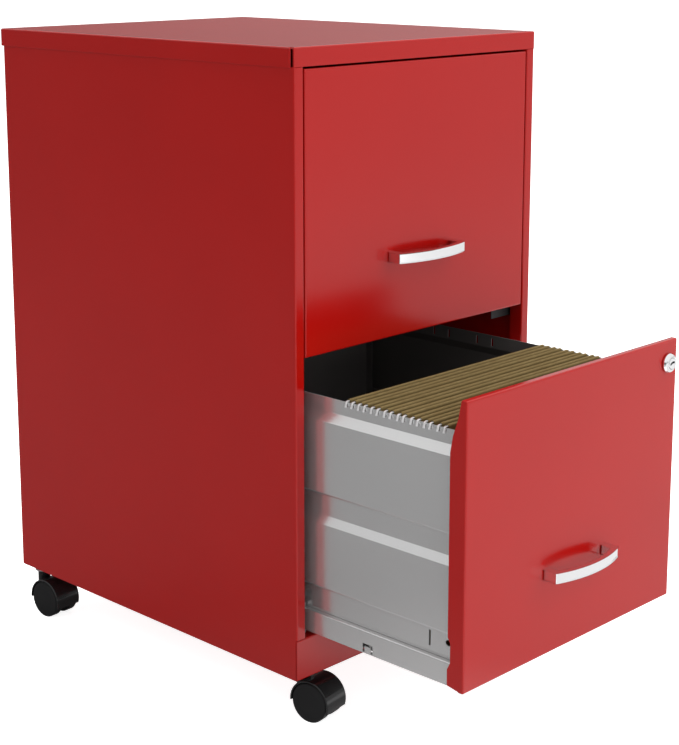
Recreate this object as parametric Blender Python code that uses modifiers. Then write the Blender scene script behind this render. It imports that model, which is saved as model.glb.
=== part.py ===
"""Two-drawer steel filing cabinet on twin-wheel casters, the lower drawer standing open.

Run with: blender --background --python part.py
Lengths in this file are millimetres; meshes are made in metres, +Z up, with the origin on the
floor under the middle of the whole outline. The drawers open towards -Y.
"""
import math

import bmesh
import bpy
from mathutils import Matrix, Vector

MM = 0.001

# ---- driving dimensions (mm) ------------------------------------------------
CABINET_WIDTH = 360.0          # over the side panels
CABINET_DEPTH = 457.0
BODY_HEIGHT = 622.5            # without the casters
CASTER_HEIGHT = 51.0
SHEET = 1.0                    # sheet steel thickness
GAP = 0.3                      # clearance between pieces that touch

POST_WIDTH = 12.0              # front return of a side panel
HEM_DEPTH = 16.0
REAR_RETURN = 12.0
CAP_OVERHANG = 1.5             # the top panel stands this far out past the sides
CAP_FLANGE = 19.0
HEADER_HEIGHT = 18.5
KICK_HEIGHT = 42.5

FRONT_WIDTH = 333.0
FRONT_HEIGHT = 275.5
FRONT_SPACING = 4.0            # between the two drawer fronts
# outline of a front seen from its side: (depth, height) of its side returns
RETURN_OUTLINE = [
    (0.0, 0.0), (6.0, 0.0), (6.0, 1.0), (19.5, 3.5), (19.5, 19.0), (16.0, 26.0), (16.0, 45.0),
    (19.0, 50.0), (19.0, 225.0), (16.0, 241.0), (10.0, 258.0), (6.5, FRONT_HEIGHT), (0.0, FRONT_HEIGHT),
]
LOWER_FRONT_BOTTOM = 47.0      # above the body's bottom edge
UPPER_FRONT_BOTTOM = LOWER_FRONT_BOTTOM + FRONT_HEIGHT + FRONT_SPACING
LOWER_OPEN = 200.0             # how far the lower drawer stands open

DRAWER_LENGTH = 420.0
SIDE_OUTER = 160.0             # half width over the raised panels of a drawer side
SIDE_RECESS = 156.0            # half width over its recessed bands
SIDE_LIP = 154.0               # half width over the hanging rail at the top
SIDE_FLOOR = 1.4               # bottom of the drawer side above the front's lower edge
SIDE_TOP = 242.0
SIDE_SHEET = 0.9
SIDE_START = 1.4               # behind the front's face
RAIL_SLOT = (2.6, 9.0)         # length and height of a slot in the hanging rail
RAIL_SLOT_LOW = 229.8
RAIL_SLOT_STARTS = (227.3, 248.9)
RAIL_SLOT_PITCH = 62.6
TIP_SLOT = ((48.2, 30.0), (50.4, 45.5))   # opposite corners of an upright slot in the side
TIP_HOLE = (27.0, 38.8, 3.0)   # a hole in front of it: distance back, height, radius
BACK_FLANGE = 10.0
BACK_HALF_WIDTH = 152.6
BACK_LOW, BACK_HIGH = 4.2, 238.0

SLIDE_HEIGHT = 23.0
SLIDE_OUTER = 161.5            # half width over the drawer's slide members
SLIDE_INNER = 156.4
BALL_SPACE = 4.6               # between the drawer's and the cabinet's slide members
CABINET_SLIDE_START = 21.0
CABINET_SLIDE_END = 440.0
CAGE_START = 110.0             # with the drawer closed
CAGE_LENGTH = 150.0
CAGE_WALL = (-162.2, -163.4)   # inner and outer face of a left cage's web
CAGE_EDGE = -157.8
DRAWER_SLIDE_ENDS = (6.5, 406.0)
TAB = (116.4, 129.5, 1.3, 8.0) # lanced tab of the drawer's slide: ends, root and tip heights
TAB_SLIT = 2.0

HANDLE_SPAN = 100.0
HANDLE_STANDOFF = 15.5         # at the ends
HANDLE_REACH = 24.5            # in the middle of the bow
HANDLE_THICKNESS = 3.6
HANDLE_BAR = 10.0              # height of the flat bar
HANDLE_HEIGHT = 82.7           # above the front's lower edge
SCREW_RADIUS = 2.0

LOCK_X = 150.0
LOCK_Z = 252.5
LOCK_HEAD_RADIUS = 10.0
LOCK_HEAD_HEIGHT = 5.5
LOCK_BARREL_RADIUS = 8.0
LOCK_PLUG_RADIUS = 5.6
LOCK_BARREL_END = 20.0
KEYWAY_TILT = 28.0             # degrees
KEYWAY_LENGTH, KEYWAY_WIDTH, KEYWAY_DEPTH = 7.2, 1.5, 9.0
LOCK_NUT_RADIUS, LOCK_NUT_END = 10.3, 5.0
CAM_REACH, CAM_HALF_WIDTH, CAM_SHEET = 22.0, 6.0, 2.0
STRIKE_LOW, STRIKE_HIGH = 311.5, 320.0
STRIKE_START, STRIKE_BACK = 140.0, 50.0
STRIKE_FACE = 19.8

FOLDERS_START = 24.0
FOLDERS_END = 160.0
FOLDERS_HALF_WIDTH = 149.0
FOLDERS_TOP = 243.0
FOLDERS_BOTTOM = 12.0
FOLDER_WALL = 2.0

WHEEL_RADIUS = 20.5
WHEEL_WIDTH = 10.9
WHEEL_INNER = 5.0              # half distance between the two wheels
HOOD_RADIUS = 23.3
HOOD_HALF_WIDTH = 16.4
HOOD_WEB = 4.6                 # half thickness of the web between the wheels
WELL_RADIUS = 21.3
AXLE_RADIUS = 3.0
TRAIL = 18.0                   # axle's distance from the swivel axis
STEM_RADIUS = 2.5
STEM_FLANGE_RADIUS, STEM_FLANGE = 10.0, 1.6
STEM_PIN_RADIUS, STEM_PIN = 4.0, 14.0      # above the cabinet's lower edge
HUB_RADIUS = 8.0
BOSS_RADIUS = 7.0
HOOD_SWEEP = (-18.0, 183.0)    # degrees round the axle, from its front
CASTER_INSET = 24.0            # swivel axes from the front and back edges
CASTERS = {                    # name: (x, distance behind the front, degrees turned)
    "front_left": (-147.5, CASTER_INSET, 9.0),
    "front_right": (147.5, CASTER_INSET, -9.0),
    "rear_left": (-166.3, CABINET_DEPTH - CASTER_INSET, 4.0),
    "rear_right": (166.3, CABINET_DEPTH - CASTER_INSET, -4.0),
}

HALF_WIDTH = CABINET_WIDTH / 2
HALF_FRONT = FRONT_WIDTH / 2
FRONT_Y = (LOWER_OPEN + HANDLE_REACH - CABINET_DEPTH) / 2  # centres the whole outline on Y

# material: base colour, roughness, metallic
FINISHES = {
    "red_paint": ((0.52, 0.035, 0.030), 0.35, 0.0),
    "grey_steel": ((0.42, 0.42, 0.42), 0.45, 0.6),
    "zinc_steel": ((0.55, 0.56, 0.57), 0.35, 1.0),
    "chrome": ((0.85, 0.85, 0.86), 0.08, 1.0),
    "black_plastic": ((0.018, 0.018, 0.019), 0.4, 0.0),
    "folder_paper": ((0.28, 0.23, 0.12), 0.8, 0.0),
}


# ---- scene and placing ------------------------------------------------------
def clear_scene():
    for obj in list(bpy.data.objects):
        bpy.data.objects.remove(obj, do_unlink=True)


def new_collection(name):
    collection = bpy.data.collections.new(name)
    bpy.context.scene.collection.children.link(collection)
    return collection


def material_for(node, finish):
    colour, roughness, metallic = FINISHES[finish]
    material = bpy.data.materials.new(f"{node}_{finish}")
    material.use_nodes = True
    shader = material.node_tree.nodes["Principled BSDF"]
    shader.inputs["Base Color"].default_value = (*colour, 1.0)
    shader.inputs["Roughness"].default_value = roughness
    shader.inputs["Metallic"].default_value = metallic
    return material


def axis_empty(name, place, turn=0.0, parent=None):
    """An empty on a joint's axis, or at the body's own corner."""
    empty = bpy.data.objects.new(name, None)
    empty.empty_display_size = 0.03
    empty.location = Vector(place) * MM
    empty.rotation_euler = (0.0, 0.0, math.radians(turn))
    empty.parent = parent
    parts.objects.link(empty)
    return empty


def place(name, mesh, parent, finish, smooth=False):
    """One named piece; its mesh is in its parent's frame."""
    mesh.name = name
    mesh.materials.clear()
    mesh.materials.append(material_for(name, finish))
    if smooth:
        mesh.shade_smooth()
        mesh.set_sharp_from_angle(angle=math.radians(35))
    obj = bpy.data.objects.new(name, mesh)
    obj.parent = parent
    parts.objects.link(obj)
    return obj


# ---- shapes, as bmeshes in millimetres --------------------------------------
def box(low, high):
    shape = bmesh.new()
    size = [b - a for a, b in zip(low, high)]
    middle = [(a + b) / 2 for a, b in zip(low, high)]
    matrix = Matrix.Translation(middle) @ Matrix.Diagonal((*size, 1.0))
    bmesh.ops.create_cube(shape, size=1.0, matrix=matrix)
    return shape


def cylinder(radius, low, high, axis, centre, segments=24, spin=0.0):
    """A rod from low to high along axis 'x', 'y' or 'z', through centre."""
    shape = bmesh.new()
    bmesh.ops.create_cone(
        shape, cap_ends=True, segments=segments, radius1=radius, radius2=radius, depth=high - low)
    turns = {
        "x": Matrix.Rotation(math.radians(90), 4, "Y"),
        "y": Matrix.Rotation(math.radians(90), 4, "X"),
        "z": Matrix.Identity(4),
    }
    middle = Vector(centre)
    middle["xyz".index(axis)] = (low + high) / 2
    turn = turns[axis] @ Matrix.Rotation(math.radians(spin), 4, "Z")
    bmesh.ops.transform(shape, matrix=Matrix.Translation(middle) @ turn, verts=shape.verts)
    return shape


def point_on(axis, along, first, second):
    """A point from its distance along an axis and its two coordinates across it."""
    if axis == "x":
        return (along, first, second)
    if axis == "y":
        return (first, along, second)
    return (first, second, along)


def prism(outline, axis, low, high):
    """A flat closed outline, drawn across the axis, extruded from low to high."""
    shape = bmesh.new()
    corners = [shape.verts.new(point_on(axis, low, *corner)) for corner in outline]
    face = shape.faces.new(corners)
    grown = bmesh.ops.extrude_face_region(shape, geom=[face])
    moved = [item for item in grown["geom"] if isinstance(item, bmesh.types.BMVert)]
    bmesh.ops.translate(shape, vec=point_on(axis, high - low, 0.0, 0.0), verts=moved)
    bmesh.ops.recalc_face_normals(shape, faces=shape.faces)
    return shape


def path_wall(path, axis, low, high):
    """An open wall along a path drawn across the axis; its thickness is added later."""
    shape = bmesh.new()
    corners = [shape.verts.new(point_on(axis, low, *corner)) for corner in path]
    edges = [shape.edges.new(pair) for pair in zip(corners, corners[1:])]
    grown = bmesh.ops.extrude_edge_only(shape, edges=edges)
    moved = [item for item in grown["geom"] if isinstance(item, bmesh.types.BMVert)]
    bmesh.ops.translate(shape, vec=point_on(axis, high - low, 0.0, 0.0), verts=moved)
    if axis != "y":
        bmesh.ops.reverse_faces(shape, faces=shape.faces)
    return shape


def turned(profile, axis, centre, segments=24):
    """A profile of (radius, distance along the axis) turned about that axis."""
    shape = bmesh.new()
    points = []
    for radius, along in profile:
        points.append(shape.verts.new((radius, 0.0, along)))
    edges = [shape.edges.new(pair) for pair in zip(points, points[1:])]
    bmesh.ops.spin(
        shape, geom=points + edges, axis=(0, 0, 1), cent=(0, 0, 0), dvec=(0, 0, 0),
        angle=math.tau, steps=segments, use_merge=True)
    bmesh.ops.remove_doubles(shape, verts=shape.verts, dist=0.001)
    bmesh.ops.recalc_face_normals(shape, faces=shape.faces)
    # the profile's own axis becomes x, y or z
    turns = {
        "x": Matrix.Rotation(math.radians(90), 4, "Y"),
        "y": Matrix.Rotation(math.radians(-90), 4, "X"),
        "z": Matrix.Identity(4),
    }
    matrix = Matrix.Translation(centre) @ turns[axis]
    bmesh.ops.transform(shape, matrix=matrix, verts=shape.verts)
    return shape


def bench_object(shape, name):
    """Puts a shape on the bench, in metres, for modifiers to work on."""
    bmesh.ops.scale(shape, vec=(MM, MM, MM), verts=shape.verts)
    mesh = bpy.data.meshes.new(name)
    shape.to_mesh(mesh)
    shape.free()
    obj = bpy.data.objects.new(name, mesh)
    obj.hide_render = True
    obj.display_type = "WIRE"
    cutters.objects.link(obj)
    return obj


def finished(shape, joins=(), cuts=(), late_joins=(), thickness=None):
    """Thickens, joins and cuts a shape, and gives the mesh that results."""
    base = bench_object(shape, "base")
    tools = []
    if thickness:
        solidify = base.modifiers.new("thickness", "SOLIDIFY")
        solidify.thickness = thickness * MM
        solidify.offset = -1.0
        solidify.use_even_offset = True
    for operation, shapes in (("UNION", joins), ("DIFFERENCE", cuts), ("UNION", late_joins)):
        for tool_shape in shapes:
            tool = bench_object(tool_shape, "tool")
            tools.append(tool)
            boolean = base.modifiers.new(operation.lower(), "BOOLEAN")
            boolean.operation = operation
            boolean.solver = "EXACT"
            boolean.object = tool
    bpy.context.view_layer.update()
    evaluated = base.evaluated_get(bpy.context.evaluated_depsgraph_get())
    mesh = bpy.data.meshes.new_from_object(evaluated)
    for obj in tools + [base]:
        bpy.data.objects.remove(obj, do_unlink=True)
    return mesh


def mirrored(mesh):
    """The same piece for the other side, mirrored across X."""
    copy = mesh.copy()
    copy.transform(Matrix.Diagonal((-1.0, 1.0, 1.0, 1.0)))
    copy.flip_normals()
    return copy


def place_pair(name, left_mesh, parents, finish, smooth=False):
    """A left piece and its mirror image; parents are the left and right ones."""
    right_mesh = mirrored(left_mesh)
    place(f"{name}_left", left_mesh, parents[0], finish, smooth)
    place(f"{name}_right", right_mesh, parents[1], finish, smooth)


# ---- cabinet ----------------------------------------------------------------
# A path's thickness lies to its left, seen with its first coordinate to the right
# and its second upwards.
def side_panel():
    """A folded C: rear return, wall, front post and its hem. Left-hand side."""
    post_edge = -HALF_WIDTH + POST_WIDTH
    back = CABINET_DEPTH - CAP_OVERHANG
    top = BODY_HEIGHT - SHEET - GAP
    path = [
        (-HALF_WIDTH + REAR_RETURN, back),
        (-HALF_WIDTH, back),
        (-HALF_WIDTH, 0.0),
        (post_edge, 0.0),
        (post_edge, HEM_DEPTH),
    ]
    clear = SHEET + GAP
    above_header = BODY_HEIGHT - HEADER_HEIGHT - GAP
    kick_top = KICK_HEIGHT + GAP
    kick_cut = box((-HALF_WIDTH - 1, -1, -1), (post_edge + 1, clear, kick_top))
    hem_cut = box((-HALF_WIDTH + clear, -2, -2), (post_edge + 2, HEM_DEPTH + 1, kick_top))
    header_cut = box((-HALF_WIDTH - 1, -1, above_header), (post_edge + 1, clear, top + 1))
    corner = 5.0
    corner_cut = prism(
        [(back - corner - 1, -1), (back + 1, -1), (back + 1, corner + 1)], "x", -HALF_WIDTH - 1, -160)
    cuts = [kick_cut, hem_cut, header_cut, corner_cut]
    return finished(path_wall(path, "z", 0.0, top), thickness=SHEET, cuts=cuts)


def top_panel():
    """A cap with a front header, side flanges and a rear flange."""
    outer = HALF_WIDTH + CAP_OVERHANG
    under = BODY_HEIGHT - SHEET
    shell = box((-outer, 0, BODY_HEIGHT - CAP_FLANGE), (outer, CABINET_DEPTH, BODY_HEIGHT))
    inner = HALF_WIDTH + GAP
    back = CABINET_DEPTH - CAP_OVERHANG + GAP
    cuts = [box((-inner, SHEET, 500), (inner, back, under))]
    corner_depth = 5.0
    for side in (-1, 1):
        xs = sorted((side * HALF_WIDTH, side * (outer + 5)))
        cuts.append(box((xs[0], -1, 500), (xs[1], corner_depth, BODY_HEIGHT + 5)))
    header_low = BODY_HEIGHT - HEADER_HEIGHT
    cuts.append(box((-outer - 1, -1, 500), (outer + 1, corner_depth, header_low)))
    inside = HALF_WIDTH - POST_WIDTH - 2
    lip = box((-inside, SHEET / 2, header_low), (inside, 10.0, header_low + SHEET))
    return finished(shell, cuts=cuts, late_joins=[lip])


def kick_panel():
    """A folded channel under the lower drawer, as wide as the cabinet."""
    path = [(10.0, KICK_HEIGHT), (0.0, KICK_HEIGHT), (0.0, 0.0), (12.0, 0.0)]
    cuts = []
    for side in (-1, 1):
        xs = sorted((side * (HALF_WIDTH - SHEET - GAP), side * (HALF_WIDTH + 5)))
        cuts.append(box((xs[0], SHEET, -1), (xs[1], 20.0, KICK_HEIGHT + 1)))
    return finished(path_wall(path, "x", -HALF_WIDTH, HALF_WIDTH), thickness=SHEET, cuts=cuts)


def bottom_panel():
    """A tray with turned-up sides and a hole for each caster's stem."""
    inside = HALF_WIDTH - SHEET - 0.4
    floor = SHEET + GAP
    path = [(-inside, 14.0), (-inside, floor), (inside, floor), (inside, 14.0)]
    cuts = []
    for x, y, _turn in CASTERS.values():
        cuts.append(cylinder(4.4, -5.0, 9.0, "z", (x, y, 0.0), 16))
    wall = path_wall(path, "y", SHEET + 0.4, CABINET_DEPTH - 4.5)
    return finished(wall, thickness=SHEET, cuts=cuts)


def lock_strike():
    """An angle on the right side panel that the lock's cam turns behind."""
    wall = HALF_WIDTH - SHEET - GAP
    face_back = STRIKE_FACE + SHEET
    outline = [
        (STRIKE_START, face_back), (STRIKE_START, STRIKE_FACE), (wall, STRIKE_FACE),
        (wall, STRIKE_BACK), (wall - SHEET, STRIKE_BACK), (wall - SHEET, face_back),
    ]
    return finished(prism(outline, "z", STRIKE_LOW, STRIKE_HIGH))


def cabinet_slide(front_bottom):
    """The fixed member of a left slide: a deep channel on the side panel."""
    web = -(HALF_WIDTH - SHEET - GAP)
    edge = -158.5
    low = front_bottom - BALL_SPACE - SHEET
    high = front_bottom + SLIDE_HEIGHT + BALL_SPACE + SHEET
    path = [(edge, high), (web, high), (web, low), (edge, low)]
    return finished(path_wall(path, "y", CABINET_SLIDE_START, CABINET_SLIDE_END), thickness=SHEET)


def build_cabinet(root):
    place_pair("side_panel", side_panel(), (root, root), "red_paint")
    place("top_panel", top_panel(), root, "red_paint")
    inside = HALF_WIDTH - SHEET - 0.6
    back_y = CABINET_DEPTH - CAP_OVERHANG - SHEET
    back = box((-inside, back_y - 1.7, 2.6), (inside, back_y - 0.7, BODY_HEIGHT - 1.6))
    place("back_panel", finished(back), root, "red_paint")
    place("bottom_panel", bottom_panel(), root, "red_paint")
    place("kick_panel", kick_panel(), root, "red_paint")
    place("lock_strike", lock_strike(), root, "zinc_steel")
    for drawer, bottom in (("upper", UPPER_FRONT_BOTTOM), ("lower", LOWER_FRONT_BOTTOM)):
        place_pair(f"{drawer}_cabinet_slide", cabinet_slide(bottom), (root, root), "zinc_steel")


# ---- drawers: y = 0 is the front's face, z = 0 its lower edge ------------------
def drawer_front(with_lock):
    """A pan whose side returns vary in depth, with holes for the handle and lock."""
    shape = prism(RETURN_OUTLINE, "x", -HALF_FRONT, HALF_FRONT)
    inside = HALF_FRONT - SHEET
    cuts = [box((-inside, SHEET, SHEET), (inside, 30.0, FRONT_HEIGHT - SHEET))]
    for x in screw_places():
        cuts.append(cylinder(SCREW_RADIUS + GAP, -1, 3, "y", (x, 0, HANDLE_HEIGHT), 12))
    if with_lock:
        cuts.append(cylinder(LOCK_BARREL_RADIUS + GAP, -1, 3, "y", (LOCK_X, 0, LOCK_Z), 24))
    return finished(shape, cuts=cuts)


def drawer_side():
    """A pressed side with two raised panels, a hanging rail and its slots. Left-hand side."""
    path = [
        (-SIDE_LIP, SIDE_TOP), (-SIDE_LIP, 228.0), (-SIDE_OUTER, 219.0), (-SIDE_OUTER, 146.5),
        (-SIDE_RECESS, 145.0), (-SIDE_RECESS, 124.0), (-SIDE_OUTER, 115.0), (-SIDE_OUTER, 50.0),
        (-SIDE_RECESS, 48.5), (-SIDE_RECESS, SIDE_FLOOR), (-144.0, SIDE_FLOOR),
    ]
    far, near = -SIDE_OUTER - 10.0, -SIDE_LIP + 14.0
    slot_low, slot_high = TIP_SLOT
    hole_y, hole_z, hole_radius = TIP_HOLE
    cuts = [
        box((far, *slot_low), (near, *slot_high)),
        cylinder(hole_radius, far, near, "x", (0, hole_y, hole_z), 16),
    ]
    slot_length, slot_height = RAIL_SLOT
    for pair in range(3):
        for start in RAIL_SLOT_STARTS:
            y = start + pair * RAIL_SLOT_PITCH
            cuts.append(box((far, y, RAIL_SLOT_LOW), (near, y + slot_length, RAIL_SLOT_LOW + slot_height)))
    wall = path_wall(path, "y", SIDE_START, DRAWER_LENGTH)
    return finished(wall, thickness=SIDE_SHEET, cuts=cuts)


def drawer_slide():
    """The drawer's own slide member, a shallow channel with a small lanced tab."""
    path = [
        (-SLIDE_INNER, SLIDE_HEIGHT), (-SLIDE_OUTER, SLIDE_HEIGHT), (-SLIDE_OUTER, 0.0), (-SLIDE_INNER, 0.0),
    ]
    start, end, root, tip = TAB
    slit = TAB_SLIT
    tab = [
        (start, root), (start + slit, root), (start + slit, tip), (end - slit, tip), (end - slit, root),
        (end, root), (end, tip + slit), (start, tip + slit),
    ]
    cut = prism(tab, "x", -SLIDE_OUTER - 3.5, -SLIDE_OUTER + 1.5)
    wall = path_wall(path, "y", *DRAWER_SLIDE_ENDS)
    return finished(wall, thickness=SHEET, cuts=[cut])


def drawer_back():
    """A panel with both side edges folded forwards."""
    rear = DRAWER_LENGTH - 2.0
    fold = rear - BACK_FLANGE
    path = [
        (BACK_HALF_WIDTH, fold), (BACK_HALF_WIDTH, rear), (-BACK_HALF_WIDTH, rear), (-BACK_HALF_WIDTH, fold),
    ]
    return finished(path_wall(path, "z", BACK_LOW, BACK_HIGH), thickness=SIDE_SHEET)


def screw_places():
    return (-HANDLE_SPAN / 2 + HANDLE_THICKNESS, HANDLE_SPAN / 2 - HANDLE_THICKNESS)


def arc_points(half_span, ends, middle, count):
    """Points from -half_span to half_span on the circle that bows from ends to middle."""
    rise = middle - ends
    radius = (half_span ** 2 + rise ** 2) / (2 * rise)
    reach = math.asin(half_span / radius)
    points = []
    for step in range(count + 1):
        angle = -reach + 2 * reach * step / count
        points.append((radius * math.sin(angle), -(middle - radius + radius * math.cos(angle))))
    return points


def handle():
    """A flat bar that bows outwards between two square legs with thicker feet."""
    half = HANDLE_SPAN / 2
    foot = 2 * HANDLE_THICKNESS
    steps = 16
    outer = arc_points(half, HANDLE_STANDOFF, HANDLE_REACH, steps)
    inner = arc_points(
        half - foot, HANDLE_STANDOFF - HANDLE_THICKNESS + 1.0, HANDLE_REACH - HANDLE_THICKNESS, steps)
    outline = [(-half, -GAP)] + outer + [(half, -GAP), (half - foot, -GAP)]
    outline += inner[::-1] + [(-half + foot, -GAP)]
    low = HANDLE_HEIGHT - HANDLE_BAR / 2
    shape = prism(outline, "z", low, low + HANDLE_BAR)
    holes = []
    for x in screw_places():
        holes.append(cylinder(SCREW_RADIUS + GAP, -9.0, 2.0, "y", (x, 0, HANDLE_HEIGHT), 12))
    return finished(shape, cuts=holes)


def handle_screw(x):
    """A pan-head screw from inside the front; y grows into the drawer."""
    profile = [
        (0.0, -8.0), (SCREW_RADIUS, -8.0), (SCREW_RADIUS, SHEET + GAP), (4.0, SHEET + GAP),
        (3.9, 2.6), (2.6, 3.6), (0.0, 3.8),
    ]
    return finished(turned(profile, "y", (x, 0.0, HANDLE_HEIGHT), 12))


def lock_pieces(parent, plug_parent):
    """A cam lock: housing, nut, turning plug and its cam."""
    centre = (LOCK_X, 0.0, LOCK_Z)
    bore = LOCK_PLUG_RADIUS + GAP
    face = -GAP - LOCK_HEAD_HEIGHT
    housing = [
        (bore, face), (8.2, face), (9.5, face + 0.8), (LOCK_HEAD_RADIUS, face + 2.2),
        (LOCK_HEAD_RADIUS, -GAP), (LOCK_BARREL_RADIUS, -GAP), (LOCK_BARREL_RADIUS, LOCK_BARREL_END),
        (bore, LOCK_BARREL_END), (bore, face),
    ]
    place("lock_housing", finished(turned(housing, "y", centre, 32)), parent, "chrome", smooth=True)
    nut = cylinder(LOCK_NUT_RADIUS, SHEET + GAP, LOCK_NUT_END, "y", centre, 6, spin=30)
    nut_hole = cylinder(LOCK_BARREL_RADIUS + GAP, 0.0, 8.0, "y", centre, 24)
    place("lock_nut", finished(nut, cuts=[nut_hole]), parent, "zinc_steel")
    plug = cylinder(LOCK_PLUG_RADIUS, face - 0.3, LOCK_BARREL_END + 1.7, "y", (0, 0, 0), 24)
    half_length, half_slot = KEYWAY_LENGTH / 2, KEYWAY_WIDTH / 2
    keyway = box((-half_length, face - 2, -half_slot), (half_length, face + KEYWAY_DEPTH, half_slot))
    tilt = Matrix.Rotation(math.radians(-KEYWAY_TILT), 4, "Y")
    bmesh.ops.transform(keyway, matrix=tilt, verts=keyway.verts)
    place("lock_plug", finished(plug, cuts=[keyway]), plug_parent, "chrome", smooth=True)
    reach, half, blunt = CAM_REACH, CAM_HALF_WIDTH, 4.0
    outline = [
        (half, -half), (half, half), (-reach + blunt, half), (-reach, 2.5), (-reach, -2.5),
        (-reach + blunt, -half),
    ]
    start = LOCK_BARREL_END + 2.0
    place("lock_cam", finished(prism(outline, "y", start, start + CAM_SHEET)), plug_parent, "zinc_steel")


def hanging_folders():
    """The block that the hanging folders take up; open underneath."""
    shape = box(
        (-FOLDERS_HALF_WIDTH, FOLDERS_START, FOLDERS_BOTTOM), (FOLDERS_HALF_WIDTH, FOLDERS_END, FOLDERS_TOP))
    inner = box(
        (-FOLDERS_HALF_WIDTH + FOLDER_WALL, FOLDERS_START + FOLDER_WALL, FOLDERS_BOTTOM - 5),
        (FOLDERS_HALF_WIDTH - FOLDER_WALL, FOLDERS_END - FOLDER_WALL, FOLDERS_TOP - FOLDER_WALL))
    return finished(shape, cuts=[inner])


def build_drawer(name, root, bottom, opened):
    """One drawer and its slide cages, which move half as far as the drawer does."""
    body = axis_empty(f"{name}_drawer_axis", (0.0, -opened, bottom), parent=root)
    with_lock = name == "lower"
    place(f"{name}_front", drawer_front(with_lock), body, "red_paint")
    place_pair(f"{name}_drawer_side", drawer_side(), (body, body), "grey_steel")
    place(f"{name}_drawer_back", drawer_back(), body, "grey_steel")
    floor_low = SIDE_FLOOR + SIDE_SHEET + GAP
    half_floor = BACK_HALF_WIDTH - 0.2
    floor = box((-half_floor, 7.0, floor_low), (half_floor, DRAWER_LENGTH - 3.5, floor_low + SIDE_SHEET))
    place(f"{name}_drawer_bottom", finished(floor), body, "grey_steel")
    place_pair(f"{name}_drawer_slide", drawer_slide(), (body, body), "grey_steel")
    place(f"{name}_handle", handle(), body, "chrome")
    for side, x in zip(("left", "right"), screw_places()):
        place(f"{name}_handle_screw_{side}", handle_screw(x), body, "zinc_steel", smooth=True)
    if with_lock:
        plug_axis = axis_empty("lock_axis", (LOCK_X, 0.0, LOCK_Z), parent=body)
        lock_pieces(body, plug_axis)
        place("hanging_folders", hanging_folders(), body, "folder_paper")
    low = bottom - BALL_SPACE + 0.4
    high = bottom + SLIDE_HEIGHT + BALL_SPACE - 0.4
    inner_low = bottom - 0.4
    inner_high = bottom + SLIDE_HEIGHT + 0.4
    edge = CAGE_EDGE
    web_in, web_out = CAGE_WALL
    cage = [
        (edge, high), (web_out, high), (web_out, low), (edge, low),
        (edge, inner_low), (web_in, inner_low), (web_in, inner_high), (edge, inner_high),
    ]
    start = CAGE_START - opened / 2
    mesh = finished(prism(cage, "y", start, start + CAGE_LENGTH))
    place_pair(f"{name}_slide_cage", mesh, (root, root), "zinc_steel")


# ---- casters: the swivel axis is z, the axle lies TRAIL in front of it ----------
def hood_mesh():
    """A hood over two wheels: fender, web, boss for the stem, axle hole."""
    axle = (0.0, -TRAIL, WHEEL_RADIUS)
    outline = []
    steps = 28
    first, last = [math.radians(degrees) for degrees in HOOD_SWEEP]
    for step in range(steps + 1):
        angle = first + (last - first) * step / steps
        outline.append((axle[1] - HOOD_RADIUS * math.cos(angle), axle[2] + HOOD_RADIUS * math.sin(angle)))
    shape = prism(outline, "x", -HOOD_HALF_WIDTH, HOOD_HALF_WIDTH)
    hub = cylinder(HUB_RADIUS, -HOOD_WEB, HOOD_WEB, "x", axle, 24)
    boss = cylinder(BOSS_RADIUS, 30.0, CASTER_HEIGHT - 3.0, "z", (0, 0, 0), 24)
    wells = [
        cylinder(WELL_RADIUS, HOOD_WEB, 30.0, "x", axle, 40),
        cylinder(WELL_RADIUS, -30.0, -HOOD_WEB, "x", axle, 40),
    ]
    holes = [
        cylinder(AXLE_RADIUS + GAP, -8.0, 8.0, "x", axle, 16),
        cylinder(STEM_RADIUS + GAP, 24.0, CASTER_HEIGHT, "z", (0, 0, 0), 16),
    ]
    return finished(shape, joins=[hub, boss], cuts=wells + holes)


def wheel_mesh():
    """A closed wheel with a blind bore; x runs from its inner to its outer side."""
    bore = AXLE_RADIUS + 0.4
    width = WHEEL_WIDTH
    profile = [
        (0.0, width), (16.8, width), (19.2, width - 0.7), (WHEEL_RADIUS, width - 2.0),
        (WHEEL_RADIUS, 1.4), (19.3, 0.0), (bore, 0.0), (bore, 7.8), (0.0, 7.8),
    ]
    return finished(turned(profile, "x", (WHEEL_INNER, 0.0, 0.0), 32))


def stem_mesh():
    """A steel stem with a flange under the cabinet's bottom edge."""
    flange_top = CASTER_HEIGHT - GAP
    profile = [
        (0.0, 25.0), (STEM_RADIUS, 25.0), (STEM_RADIUS, flange_top - STEM_FLANGE),
        (STEM_FLANGE_RADIUS, flange_top - STEM_FLANGE), (STEM_FLANGE_RADIUS, flange_top),
        (STEM_PIN_RADIUS, flange_top), (STEM_PIN_RADIUS, CASTER_HEIGHT + STEM_PIN),
        (0.0, CASTER_HEIGHT + STEM_PIN),
    ]
    return finished(turned(profile, "z", (0.0, 0.0, 0.0), 16))


def build_caster(name, x, y, turn, hood, wheel, stem):
    swivel = axis_empty(f"{name}_swivel_axis", (x, FRONT_Y + y, 0.0), turn)
    axle_axis = axis_empty(f"{name}_axle_axis", (0.0, -TRAIL, WHEEL_RADIUS), parent=swivel)
    place(f"{name}_caster_stem", stem.copy(), swivel, "zinc_steel", smooth=True)
    place(f"{name}_caster_hood", hood.copy(), swivel, "black_plastic", smooth=True)
    half_axle = WHEEL_INNER + 7.5
    axle = cylinder(AXLE_RADIUS, -half_axle, half_axle, "x", (0, 0, 0), 16)
    place(f"{name}_caster_axle", finished(axle), axle_axis, "zinc_steel", smooth=True)
    place(f"{name}_wheel_left", mirrored(wheel), axle_axis, "black_plastic", smooth=True)
    place(f"{name}_wheel_right", wheel.copy(), axle_axis, "black_plastic", smooth=True)


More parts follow.
